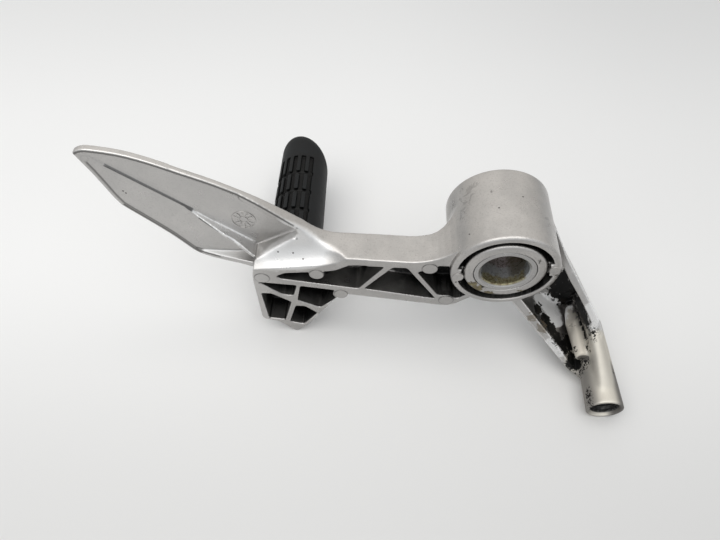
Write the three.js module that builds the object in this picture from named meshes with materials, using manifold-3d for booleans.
// A die-cast motorcycle foot peg lever: a pivot boss with a greased sleeve, a cored main arm
// that ends in a peg block, a leaf-shaped guard wing, a sloping socket arm, and a rubber peg.
//
// Millimetres, +Z up. While it is shaped, the lever stands in its own frame: the pivot axis is
// the Y axis, the boss front face is y = 0, and y grows from the cored side to the peg side.
// Every outline below is drawn in the plane of the lever, as [x, z] or [x, z, corner trim].

import * as THREE from 'three';
import { mergeVertices } from 'three/addons/utils/BufferGeometryUtils.js';
import Module from 'manifold-3d';

const wasm = await Module();
wasm.setup();

// ---------------------------------------------------------------------------
// Driving dimensions
// ---------------------------------------------------------------------------

// Pivot boss
const bossRadius = 23;
const bossDraft = 0.1;            // how much thinner the barrel is at its far end
const bossLength = 39.5;
const bossFrontEdge = 0.9;        // chamfer of the front rim
const bossRearEdge = 1.3;
const rimWall = 2.8;
const grooveWidth = 2.9;          // ring-shaped core groove in the front face
const grooveDepth = 26;
const grooveWebHeight = 7.8;      // the two webs that bridge the groove
const grooveWebTurn = 0.14;       // radians above the level line
const hubRecess = 0.3;            // the inner hub lies this far behind the rim

// Pivot sleeve and its seals
const sleeveBoreRadius = 10.1;
const sleeveWall = 3.05;
const sleeveRunningGap = 0.1;
const sleeveSetback = 0.5;
const sleeveChamfer = 1.1;
const sealSectionRadius = 1.2;
const sealInset = 5;              // from each end of the hub to the middle of a seal
const sealGap = 0.1;

// Main arm
const armFront = 3;               // the cored face, behind the boss front face
const armBack = 18;
const armTop = 1.4;               // height of the arm's flat top at the boss
const armTopRise = 1.5;           // and how much higher it is at the wing root
const armTopFillet = 25;
const armHeelX = -21.8;           // the rounded heel under the boss
const armHeelZ = -26.2;
const armHeelRadius = 4.7;
const armRootReach = 8;           // blend from the arm's back to the boss barrel
const armRootRise = 10;
const coreFloor = 15.6;           // how deep the core pockets go
const padRadius = 3.5;            // round ejector pads

// Peg block, placed from the crossing of its core ribs
const blockX = -94;
const blockZ = -32;

// Peg root and stub, behind the block
const pegX = blockX - 1.4;
const pegZ = blockZ;
const pegRootRadius = 13.6;
const pegRootBack = 27;
const pegFlangeRadius = 12.2;
const pegFlangeThickness = 2.5;
const pegStubRadius = 8;
const pegStubLength = 58;
const keelThickness = 7;          // keel under the peg root, which the lever lies on
const keelDrop = 26.2;            // how far its foot lies under the peg axis

// Rubber peg
const rubberFrontRadius = 13.65;
const rubberEndRadius = 13;
const rubberBoreGap = 0.3;
const rubberEndY = 103.1;         // middle of the domed end face
const rubberDomeLength = 10;
const rubberDomeRound = 8;
const rubberEndSlope = 0.62;      // the end is cut back under the foot
const rubberUnderside = -0.97;    // direction of the underside round the peg, radians

// Guard wing
const wingBack = 18;
const wingThickness = 3;
const wingRimWidth = 1.8;
const wingUpperFloor = 1;         // depth of the upper field below the rim
const wingLowerFloor = 0.6;
const ribThickness = 1.8;
const bandRootWidth = 3.2;        // the thick root of the top band
const bandRootStart = [-111, 15];
const bandRootEnd = [-86, 11.6];

// Scoop between wing and arm
const scoopRadius = 15.5;
const scoopAxisY = -4;

// Socket arm
const socketX = 50.2;
const socketZ = -49.8;
const socketRadius = 8.15;
const socketFront = -38;
const socketBack = 17.5;
const socketTubeBack = 7;
const socketWeb = 3.2;
const socketDraft = 0.19;         // behind its lip the strap's upper side leans in this much
const socketUnderDraft = 0.05;
const socketRootBack = 30;        // y of the arm's back where it leaves the boss
const socketRootAlong = 22.5;
const socketKneeAlong = 50;       // from here on, its back is at socketBack
const socketHeelAlong = 61;       // and from here it comes forward to the tube's end
const socketTubeDraft = 0.03;
const socketHoleRadius = 4.5;
const socketHoleDepth = 38;
const socketMouthRadius = 7.1;
const lipPlaneStart = 32.8;       // y of the sloping lip plane, over the pivot axis
const lipPlaneSlope = 0.8;        // and how fast it comes forward along the arm
const lugRadius = 3;              // ejector lug beside the socket
const lugX = 42.3;
const lugZ = -43;
const lugFront = -15.5;

// Threaded insert in the socket
const insertRadius = 6;
const insertLength = 18;
const insertSetback = 2.4;
const insertGap = 0.1;

// Facets
const barrelSides = 80;
const roundSides = 40;
const smallSides = 20;
const cornerSteps = 4;
const curveSteps = 28;

// ---------------------------------------------------------------------------
// Outlines
// ---------------------------------------------------------------------------

const fromBlock = (x, z, trim = 0) => [blockX + x, blockZ + z, trim];

// The peg block and the wing's root, from the scoop's end round to the arm's underside.
const blockOutline = [
  fromBlock(26.7, 34.8, 2), fromBlock(19, 35.1, 3), fromBlock(12.6, 38.9, 3), fromBlock(5.5, 44.7, 1),
  fromBlock(5.5, 38.6, 0.5), fromBlock(-13.9, 27.4, 1), fromBlock(-15.4, 19, 3),
  fromBlock(-15.3, -15.6, 2.4), fromBlock(-7.5, -18, 2), fromBlock(0.8, -27.4, 3), fromBlock(7.8, -18.6, 2),
  fromBlock(20.8, 3.2, 2), fromBlock(24.6, 8.3, 2),
];

// Core pockets of the block: four fields between crossed ribs.
const blockPockets = [
  [fromBlock(-13.2, 15.5, 1), fromBlock(4, 13.8, 1), fromBlock(1.8, 5.4, 1), fromBlock(-3, 5.8, 2)],
  [fromBlock(5.6, 13.4, 1), fromBlock(21.1, 10.8, 1), fromBlock(20.4, 6.5, 1.5), fromBlock(21.6, 4.5, 1),
    fromBlock(13.8, -4.3, 1.5), fromBlock(3.4, 1.4, 1)],
  [fromBlock(-13, 6.8, 1.5), fromBlock(-8.5, 6.6, 1), fromBlock(0.3, 0, 1), fromBlock(-4, -16.2, 1),
    fromBlock(-12, -15, 1.5)],
  [fromBlock(2.1, -3.3, 1), fromBlock(6.5, -3.4, 1.2), fromBlock(12.1, -9.2, 1.2),
    fromBlock(4.7, -20, 1.2), fromBlock(-2, -18.1, 1.2)],
];

// Core pockets of the arm. The last one reaches the boss.
const armPockets = [
  [fromBlock(-4.4, 20.6, 1), fromBlock(-0.5, 23.1, 1.5), fromBlock(17, 25, 3), fromBlock(22.2, 26.2, 2),
    fromBlock(28, 30.1, 1.5), [-50.8, -2.4, 1.2], [-62.2, -19.5, 1.2], fromBlock(-3, 18.6, 1)],
  [[-47.3, -2.6, 1.2], [-41.2, -2.6, 1.5], [-26.6, -25.9, 1.2], [-59.6, -19.4, 1.2]],
  [[-36.4, -5.6, 1], [-27.5, -0.4, 1.5], [-18, -1, 1], [-10, -19, 1], [-16.5, -25, 1],
    [-26.2, -22.4, 1]],
];

const padPlaces = [fromBlock(13.5, 23.1), [-31.4, -2.4], [armHeelX, armHeelZ], fromBlock(23.6, 7.8)];

// Guard wing: its upper edge from the tip to the arm, and its lower edge back to the tip.
const wingTip = fromBlock(-76.3, 80.4);
const wingUpperEdge = [
  fromBlock(-73.6, 81.8), fromBlock(-69.4, 82), fromBlock(-58.4, 80), fromBlock(-47.8, 76),
  fromBlock(-38.1, 71.3), fromBlock(-26.2, 65.6), fromBlock(-12.2, 57.5), fromBlock(-3.5, 51.5),
  fromBlock(5, 45.1), fromBlock(12.6, 38.9),
];
const wingLowerEdge = [
  fromBlock(-14, 19), fromBlock(-21.9, 19.4), fromBlock(-28, 19.2), fromBlock(-34, 19.1),
  fromBlock(-39.4, 19.8), fromBlock(-42.3, 21.7), fromBlock(-45, 25.2), fromBlock(-50.8, 33.4),
  fromBlock(-59.6, 43.7), fromBlock(-64.4, 49.1), fromBlock(-67.7, 53.9), fromBlock(-72, 68.3),
  fromBlock(-75.2, 77),
];

// The centre rib and the low wall under it.
const ribStart = fromBlock(-40, 51);
const ribEnd = fromBlock(-12.6, 26.9);
const lowWall = [
  fromBlock(-43.5, 24.9), fromBlock(-38.5, 22.6), fromBlock(-31, 22.2), fromBlock(-10, 22.6),
  fromBlock(-10, 17), fromBlock(-14, 19), fromBlock(-21.9, 19.4), fromBlock(-28, 19.2),
  fromBlock(-34, 19.1), fromBlock(-39.4, 19.8), fromBlock(-42.3, 21.7),
];

// ---------------------------------------------------------------------------
// Shape helpers
// ---------------------------------------------------------------------------

const solid = (geometry) => {
  const bare = geometry.clone();
  bare.deleteAttribute('normal');
  bare.deleteAttribute('uv');
  const merged = mergeVertices(bare, 1e-4);
  return new wasm.Manifold(new wasm.Mesh({
    numProp: 3,
    vertProperties: new Float32Array(merged.attributes.position.array),
    triVerts: new Uint32Array(merged.index.array),
  }));
};

const geometryOf = (body) => {
  const mesh = body.getMesh();
  const geometry = new THREE.BufferGeometry();
  geometry.setAttribute('position', new THREE.BufferAttribute(mesh.vertProperties, 3));
  geometry.setIndex(new THREE.BufferAttribute(mesh.triVerts, 1));
  geometry.computeVertexNormals();
  return geometry;
};

const join = (bodies) => bodies.reduce((whole, body) => whole.add(body));
const cut = (body, cutters) => cutters.reduce((rest, cutter) => rest.subtract(cutter), body);

// A shape in the lever's plane with each corner trimmed and bridged by a curve.
const cornered = (corners) => {
  const points = corners.map(([x, z]) => new THREE.Vector2(x, z));
  const shape = new THREE.Shape();
  corners.forEach(([, , trim = 0], i) => {
    const here = points[i];
    const before = points[(i + points.length - 1) % points.length];
    const after = points[(i + 1) % points.length];
    const reach = (other) => Math.min(trim, here.distanceTo(other) / 2);
    const entry = before.clone().sub(here).setLength(reach(before)).add(here);
    const exit = after.clone().sub(here).setLength(reach(after)).add(here);
    if (i === 0) {
      shape.moveTo(entry.x, entry.y);
    } else {
      shape.lineTo(entry.x, entry.y);
    }
    if (trim > 0) {
      shape.quadraticCurveTo(here.x, here.y, exit.x, exit.y);
    }
  });
  return shape;
};

// A plate of the lever: a shape in x and z, thick from one y to another.
const plate = (shape, front, back) => {
  const geometry = new THREE.ExtrudeGeometry(shape, {
    depth: back - front, bevelEnabled: false, curveSegments: cornerSteps, steps: 1,
  });
  geometry.rotateX(Math.PI / 2);
  geometry.translate(0, back, 0);
  return solid(geometry);
};

// A body of revolution about an axis that runs along Y. Its profile is [radius, y].
const turned = (profile, x, z, sides) => {
  const points = profile.map(([radius, y]) => new THREE.Vector2(radius, y));
  const geometry = new THREE.LatheGeometry(points, sides);
  geometry.translate(x, 0, z);
  return solid(geometry);
};

const pin = (radius, front, back, x, z, sides) => turned(
  [[0, front], [radius, front], [radius, back], [0, back]], x, z, sides);

const boxBetween = (low, high) => {
  const geometry = new THREE.BoxGeometry(high[0] - low[0], high[1] - low[1], high[2] - low[2]);
  geometry.translate((low[0] + high[0]) / 2, (low[1] + high[1]) / 2, (low[2] + high[2]) / 2);
  return solid(geometry);
};

// Everything in front of a plane that runs from one [x, y] to another, at every height.
const inFrontOf = ([x1, y1], [x2, y2]) => {
  const reach = 4 * bossLength;
  const slope = (y2 - y1) / (x2 - x1);
  const left = x1 - bossLength;
  const right = x2 + bossLength;
  const shape = new THREE.Shape([
    new THREE.Vector2(left, -reach), new THREE.Vector2(right, -reach),
    new THREE.Vector2(right, y1 + slope * (right - x1)),
    new THREE.Vector2(left, y1 + slope * (left - x1)),
  ]);
  const geometry = new THREE.ExtrudeGeometry(shape, { depth: 2 * reach, bevelEnabled: false });
  geometry.translate(0, 0, -reach);
  return solid(geometry);
};

// ---------------------------------------------------------------------------
// Pivot boss, sleeve and seals
// ---------------------------------------------------------------------------

const sleeveRadius = sleeveBoreRadius + sleeveWall;
const hubBoreRadius = sleeveRadius + sleeveRunningGap;
const grooveOuter = bossRadius - rimWall;
const hubRadius = grooveOuter - grooveWidth;
const sealRadius = sleeveRadius + sealGap + sealSectionRadius;
const sealSeatRadius = sealRadius + sealSectionRadius + sealGap;
const sealSeatHalf = sealSectionRadius + 2 * sealGap;
const sealPlaces = [sealInset, bossLength - sealInset];

const bossBarrel = () => {
  const rear = bossRadius - bossDraft;
  const barrel = turned([
    [0, 0], [bossRadius - bossFrontEdge, 0], [bossRadius, bossFrontEdge],
    [rear, bossLength - bossRearEdge], [rear - bossRearEdge, bossLength], [0, bossLength],
  ], 0, 0, barrelSides);
  const groove = turned([
    [hubRadius, -1], [grooveOuter, -1], [grooveOuter, grooveDepth], [hubRadius, grooveDepth],
    [hubRadius, -1],
  ], 0, 0, barrelSides);
  const bar = new THREE.BoxGeometry(2 * grooveOuter + 1, grooveDepth + 1, grooveWebHeight);
  bar.translate(0, (grooveDepth + 1) / 2, 0);
  const web = solid(bar.rotateY(-grooveWebTurn));
  return barrel.subtract(groove.subtract(web));
};

const bossBores = () => [
  pin(hubBoreRadius, -1, bossLength + 1, 0, 0, barrelSides),
  pin(hubRadius, -1, hubRecess, 0, 0, barrelSides),
  ...sealPlaces.map((y) => pin(sealSeatRadius, y - sealSeatHalf, y + sealSeatHalf, 0, 0, barrelSides)),
];

const pivotSleeve = () => {
  const front = sleeveSetback;
  const back = bossLength - sleeveSetback;
  return turned([
    [sleeveBoreRadius + sleeveChamfer, front], [sleeveRadius, front], [sleeveRadius, back],
    [sleeveBoreRadius + sleeveChamfer, back], [sleeveBoreRadius, back - sleeveChamfer],
    [sleeveBoreRadius, front + sleeveChamfer], [sleeveBoreRadius + sleeveChamfer, front],
  ], 0, 0, barrelSides);
};

const pivotSeal = (y) => {
  const section = [];
  const steps = 10;
  for (let i = 0; i <= steps; i += 1) {
    const angle = (2 * Math.PI * (i % steps)) / steps;
    section.push([
      sealRadius + sealSectionRadius * Math.cos(angle), y + sealSectionRadius * Math.sin(angle)]);
  }
  return turned(section, 0, 0, roundSides);
};

// ---------------------------------------------------------------------------
// Main arm and peg block
// ---------------------------------------------------------------------------

const armShape = () => {
  const reach = bossRadius + armTopFillet;
  const filletZ = armTop + armTopFillet;
  const filletX = -Math.sqrt(reach * reach - filletZ * filletZ);
  const touch = Math.atan2(-filletZ, -filletX);
  const shape = cornered([
    [-bossRadius / 3, -bossRadius / 2], [-bossRadius / 3, bossRadius / 2],
    [filletX + armTopFillet * Math.cos(touch), filletZ + armTopFillet * Math.sin(touch)],
    ...filletPoints(filletX, filletZ, armTopFillet, touch, -Math.PI / 2),
    ...blockOutline,
    [armHeelX - 1.5, armHeelZ - armHeelRadius],
  ]);
  return shape;
};

const filletPoints = (x, z, radius, from, to) => {
  const steps = 8;
  return Array.from({ length: steps }, (_, i) => {
    const angle = from + ((to - from) * (i + 1)) / steps;
    return [x + radius * Math.cos(angle), z + radius * Math.sin(angle)];
  });
};

const mainArm = () => {
  const arm = plate(armShape(), armFront, armBack);
  const heel = pin(armHeelRadius, armFront, armBack, armHeelX, armHeelZ, smallSides);
  const heelWeb = plate(cornered([
    [armHeelX + 1, armHeelZ - armHeelRadius + 0.2], [armHeelX + armHeelRadius, armHeelZ - 3],
    [-bossRadius * 0.3, -bossRadius * 0.85], [-bossRadius * 0.7, -bossRadius * 0.6],
  ]), armFront, armBack);
  return join([arm, heel, heelWeb]);
};

// The arm's back runs up to the barrel in a hollow curve.
const armRoot = () => {
  const steps = 5;
  const curve = Array.from({ length: steps + 1 }, (_, i) => {
    const angle = ((Math.PI / 2) * i) / steps;
    return [
      bossRadius + armRootReach * (1 - Math.sin(angle)), armBack + armRootRise * (1 - Math.cos(angle))];
  });
  const collar = turned(
    [[0, armBack - 1], [bossRadius + armRootReach, armBack - 1], ...curve, [0, armBack + armRootRise]],
    0, 0, barrelSides);
  return collar.intersect(plate(armShape(), armBack - 1, armBack + armRootRise));
};

const corePockets = () => {
  const pads = padPlaces.map(([x, z]) => pin(padRadius, armFront - 2, armBack, x, z, smallSides));
  const cores = [...armPockets, ...blockPockets].map(
    (corners) => plate(cornered(corners), armFront - 1, coreFloor));
  return cut(join(cores), pads);
};

const pegRoot = () => {
  const flangeFront = pegRootBack;
  const flangeBack = pegRootBack + pegFlangeThickness;
  const stubEnd = flangeBack + pegStubLength;
  const stubEdge = 1;
  const root = turned([
    [0, armBack - 1], [pegRootRadius, armBack - 1], [pegFlangeRadius, flangeFront],
    [pegFlangeRadius, flangeBack], [pegStubRadius, flangeBack], [pegStubRadius, stubEnd - stubEdge],
    [pegStubRadius - stubEdge, stubEnd], [0, stubEnd],
  ], pegX, pegZ, roundSides);
  const foot = blockX + 0.8;
  const keel = plate(cornered([
    [foot - keelThickness / 2, pegZ, 0], [foot - keelThickness / 2, pegZ - keelDrop, 3],
    [foot + keelThickness / 2, pegZ - keelDrop, 3], [foot + keelThickness / 2, pegZ, 0],
  ]), armBack - 1, flangeBack);
  return root.add(keel);
};

const scoop = () => {
  const lowEnd = new THREE.Vector3(blockX - 31, scoopAxisY, blockZ + 36.6);
  const highEnd = new THREE.Vector3(blockX + 16, scoopAxisY, blockZ + 43.5);
  const length = lowEnd.distanceTo(highEnd);
  const barrel = new THREE.CylinderGeometry(scoopRadius, scoopRadius, length, roundSides);
  const turn = new THREE.Quaternion().setFromUnitVectors(
    new THREE.Vector3(0, 1, 0), highEnd.clone().sub(lowEnd).normalize());
  const middle = lowEnd.clone().add(highEnd).multiplyScalar(0.5);
  barrel.applyQuaternion(turn).translate(middle.x, middle.y, middle.z);
  const nose = new THREE.SphereGeometry(scoopRadius, roundSides, roundSides / 2);
  nose.applyQuaternion(turn).translate(highEnd.x, highEnd.y, highEnd.z);
  return solid(barrel).add(solid(nose));
};

// ---------------------------------------------------------------------------
// Guard wing
// ---------------------------------------------------------------------------

const curveThrough = (corners) => new THREE.SplineCurve(
  corners.map(([x, z]) => new THREE.Vector2(x, z))).getPoints(curveSteps);

const wingShape = (moveX = 0, moveZ = 0) => {
  const upper = curveThrough([wingTip, ...wingUpperEdge]);
  const lower = curveThrough([...wingLowerEdge, wingTip]);
  const outline = [...upper, ...lower.slice(0, -1)];
  return new THREE.Shape(outline.map((point) => new THREE.Vector2(point.x + moveX, point.y + moveZ)));
};

// The field inside the wing's rim: what is left of the leaf when it is moved in from each edge.
const wingField = (depth) => {
  const front = wingBack - wingThickness;
  const moves = [[-0.5, -0.87], [0.8, 0.6], [0.3, 0.95], [1, -0.2]];
  const leaves = moves.map(([x, z]) => plate(
    wingShape(x * wingRimWidth, z * wingRimWidth), front - 1, front + depth));
  return leaves.reduce((rest, leaf) => rest.intersect(leaf));
};

const lineHeight = ([x1, z1], [x2, z2], x) => z1 + ((z2 - z1) * (x - x1)) / (x2 - x1);

const guardWing = () => {
  const front = wingBack - wingThickness;
  const leaf = plate(wingShape(), front, wingBack);
  const left = wingTip[0] - 10;
  const right = ribEnd[0] + 30;
  const splitLine = (x) => lineHeight(ribStart, ribEnd, x);
  const above = plate(new THREE.Shape([
    new THREE.Vector2(left, splitLine(left)), new THREE.Vector2(right, splitLine(right)),
    new THREE.Vector2(right, splitLine(left) + 40), new THREE.Vector2(left, splitLine(left) + 40),
  ]), front - 2, wingBack);
  const upper = wingField(wingUpperFloor).intersect(above);
  const lower = wingField(wingLowerFloor).subtract(above);
  return cut(leaf, [upper, lower]);
};

const wingRib = () => {
  const along = new THREE.Vector2(ribEnd[0] - ribStart[0], ribEnd[1] - ribStart[1]).normalize();
  const step = new THREE.Vector2(along.y, -along.x).multiplyScalar(ribThickness);
  const end = new THREE.Vector2(ribEnd[0], ribEnd[1]).addScaledVector(along, 3);
  const shape = new THREE.Shape([
    new THREE.Vector2(ribStart[0], ribStart[1]), end,
    end.clone().add(step), new THREE.Vector2(ribStart[0], ribStart[1]).add(step),
  ]);
  return plate(shape, armFront, wingBack - 1);
};

const wingBandRoot = () => {
  const leaf = plate(wingShape(), armFront, wingBack - 0.5);
  const inner = plate(
    wingShape(-0.5 * bandRootWidth, -0.87 * bandRootWidth), armFront - 1, wingBack);
  const left = boxBetween([wingTip[0], -bossLength, -bossLength], [bandRootStart[0], bossLength, 2 * bossLength]);
  const below = boxBetween(
    [wingTip[0], -bossLength, -2 * bossLength], [0, bossLength, armTop + armTopRise - 1]);
  return cut(leaf, [inner, left, below, inFrontOf(bandRootStart, bandRootEnd)]);
};

const wingWalls = () => {
  const rampStart = [ribStart[0] - 2, wingBack - wingThickness + 0.5];
  const rampEnd = [ribEnd[0] - 1, 8.4];
  const walls = join([wingRib(), plate(cornered(lowWall), armFront, wingBack - 1)]);
  return walls.subtract(inFrontOf(rampStart, rampEnd)).add(wingBandRoot());
};

// ---------------------------------------------------------------------------
// Socket arm
// ---------------------------------------------------------------------------

// Outlines of the arm at its lip, as [along, across] from the pivot axis towards the socket axis.
const socketReach = Math.hypot(socketX, socketZ);
const socketHeading = Math.atan2(socketZ, socketX);
const strapOutline = [
  [0, 20], [9, 20.8], [24, 17.6], [35, 16.5], [43, 15.8], [51, 14.8], [64, 9.6],
  [socketReach + 1, 5], [socketReach + 2, -5], [63, -10.2], [48, -13.2], [31, -16.7], [10, -20.8], [0, -21],
];
const channelOutline = [
  [10, 16.8], [26.5, 13.7], [32, 12.9], [40, 12.6], [46, 12], [49.5, 11.4], [53, 8], [64, 2],
  [65, -7.4], [55, -8.1], [49, -8.9], [43, -10], [32, -11.8], [10, -16],
];

// Turns a body drawn along the X axis so that it runs from the pivot to the socket.
const alongSocketArm = (geometry) => solid(geometry.rotateY(-socketHeading));

const strap = (outline, front, back) => {
  const shape = new THREE.Shape(outline.map(([along, across]) => new THREE.Vector2(along, across)));
  const geometry = new THREE.ExtrudeGeometry(shape, {
    depth: back - front, bevelEnabled: false, steps: 1,
  });
  geometry.rotateX(Math.PI / 2);
  geometry.translate(0, back, 0);
  const places = geometry.attributes.position;
  for (let i = 0; i < places.count; i += 1) {
    const behindLip = places.getY(i) - lipPlaneStart + lipPlaneSlope * places.getX(i);
    const across = places.getZ(i);
    const lean = across > 0 ? -socketDraft : socketUnderDraft;
    places.setZ(i, Math.sign(across) * Math.max(0.5, Math.abs(across + lean * behindLip)));
  }
  return alongSocketArm(geometry);
};

// Everything behind a sloping plane of the arm, given by two [along, y] points on it.
const behindArm = ([along1, y1], [along2, y2]) => {
  const reach = 4 * bossLength;
  const backAt = (along) => y1 + ((y2 - y1) * (along - along1)) / (along2 - along1);
  const shape = new THREE.Shape([
    new THREE.Vector2(-bossLength, backAt(-bossLength)), new THREE.Vector2(reach, backAt(reach)),
    new THREE.Vector2(reach, reach), new THREE.Vector2(-bossLength, reach),
  ]);
  const geometry = new THREE.ExtrudeGeometry(shape, { depth: 2 * reach, bevelEnabled: false });
  geometry.translate(0, 0, -reach);
  return alongSocketArm(geometry);
};

const strapBody = (outline, front, lift) => {
  const slope = behindArm(
    [socketRootAlong, socketRootBack - lift], [socketKneeAlong, socketBack - lift]);
  const root = strap(outline, front, socketRootBack - lift).subtract(slope);
  return root.add(strap(outline, front, socketBack - lift));
};

const lipCutter = () => {
  const reach = 4 * bossLength;
  const along = [-bossLength, reach];
  const shape = new THREE.Shape([
    new THREE.Vector2(along[0], -reach), new THREE.Vector2(along[1], -reach),
    new THREE.Vector2(along[1], lipPlaneStart - lipPlaneSlope * along[1]),
    new THREE.Vector2(along[0], lipPlaneStart - lipPlaneSlope * along[0]),
  ]);
  const geometry = new THREE.ExtrudeGeometry(shape, { depth: 2 * reach, bevelEnabled: false });
  geometry.translate(0, 0, -reach);
  return alongSocketArm(geometry);
};

const socketArm = () => {
  const heel = behindArm(
    [socketHeelAlong, socketBack], [socketReach + socketRadius, socketTubeBack - socketWeb]);
  const shell = cut(strapBody(strapOutline, socketFront, 0), [
    strapBody(channelOutline, socketFront - 1, socketWeb), lipCutter(), heel]);
  const tubeEnd = socketRadius - socketTubeDraft * (socketTubeBack - socketFront);
  const tube = turned(
    [[0, socketFront], [socketRadius, socketFront], [tubeEnd, socketTubeBack], [0, socketTubeBack]],
    socketX, socketZ, roundSides);
  const lug = pin(lugRadius, lugFront, socketBack - 1, lugX, lugZ, smallSides);
  return join([shell, tube, lug]);
};

const insertHoleRadius = insertRadius + insertGap;
const insertFront = socketFront + insertSetback;

const socketBores = () => {
  const mouth = turned([
    [0, socketFront - 1], [socketMouthRadius + 0.8, socketFront - 1], [socketMouthRadius, socketFront],
    [insertHoleRadius, insertFront - 0.4], [insertHoleRadius, insertFront + insertLength + insertGap],
    [socketHoleRadius, insertFront + insertLength + insertGap],
    [socketHoleRadius, socketFront + socketHoleDepth], [0, socketFront + socketHoleDepth + 2],
  ], socketX, socketZ, roundSides);
  return [mouth];
};

const socketInsert = () => turned([
  [socketHoleRadius, insertFront], [insertRadius, insertFront],
  [insertRadius, insertFront + insertLength], [socketHoleRadius, insertFront + insertLength],
  [socketHoleRadius, insertFront],
], socketX, socketZ, roundSides);

// ---------------------------------------------------------------------------
// Whole casting and rubber
// ---------------------------------------------------------------------------

const leverCasting = () => {
  const armWithScoop = cut(join([mainArm(), guardWing(), wingWalls()]), [corePockets(), scoop()]);
  const insideBoss = pin(bossRadius - 1, -1, bossLength + 1, 0, 0, barrelSides);
  const aroundBoss = join([armWithScoop, armRoot(), socketArm()]).subtract(insideBoss);
  return cut(join([bossBarrel(), aroundBoss, pegRoot()]), [...bossBores(), ...socketBores()]);
};

const pegRubber = () => {
  const front = pegRootBack + pegFlangeThickness + rubberBoreGap;
  const boreRadius = pegStubRadius + rubberBoreGap;
  const boreEnd = pegRootBack + pegFlangeThickness + pegStubLength + rubberBoreGap;
  const domeStart = rubberEndY - rubberDomeLength;
  const domeCorner = rubberEndRadius - rubberDomeRound;
  const domeSteps = 6;
  const dome = Array.from({ length: domeSteps + 1 }, (_, i) => {
    const angle = ((Math.PI / 2) * i) / domeSteps;
    return [
      domeCorner + rubberDomeRound * Math.cos(angle), domeStart + rubberDomeLength * Math.sin(angle)];
  });
  const profile = [
    [0, boreEnd], [boreRadius, boreEnd], [boreRadius, front], [rubberFrontRadius, front],
    ...dome, [0, rubberEndY],
  ].map(([radius, y]) => new THREE.Vector2(radius, y));
  const geometry = new THREE.LatheGeometry(profile, roundSides);
  const places = geometry.attributes.position;
  for (let i = 0; i < places.count; i += 1) {
    if (places.getY(i) >= domeStart) {
      const under = places.getX(i) * Math.cos(rubberUnderside)
        + places.getZ(i) * Math.sin(rubberUnderside);
      places.setY(i, places.getY(i) - rubberEndSlope * under);
    }
  }
  geometry.translate(pegX, 0, pegZ);
  return solid(geometry);
};

// ---------------------------------------------------------------------------
// Assembly
// ---------------------------------------------------------------------------

const finish = (color, metalness, roughness) => new THREE.MeshStandardMaterial({ color, metalness, roughness });
const castAluminium = finish(0xb4b3ae, 0.9, 0.42);
const greasedSteel = finish(0xa3a39f, 1.0, 0.35);
const darkSteel = finish(0x55565a, 1.0, 0.5);
const sealRubber = finish(0x1b1b1c, 0.0, 0.6);
const pegRubberFinish = finish(0x26272a, 0.0, 0.62);

const piece = (name, body, material) => {
  const mesh = new THREE.Mesh(geometryOf(body), material);
  mesh.name = name;
  return mesh;
};

const lever = new THREE.Group();
lever.add(
  piece('lever_casting', leverCasting(), castAluminium),
  piece('pivot_sleeve', pivotSleeve(), greasedSteel),
  piece('pivot_seal_front', pivotSeal(sealPlaces[0]), sealRubber),
  piece('pivot_seal_rear', pivotSeal(sealPlaces[1]), sealRubber),
  piece('socket_insert', socketInsert(), darkSteel),
  piece('peg_rubber', pegRubber(), pegRubberFinish),
);

// The origin is under the middle of the lever, on the surface that it lies on.
const box = new THREE.Box3().setFromObject(lever);
const middle = box.getCenter(new THREE.Vector3());
lever.position.set(-middle.x, -middle.y, -box.min.z);

const footPeg = new THREE.Group();
footPeg.add(lever);

export default footPeg;
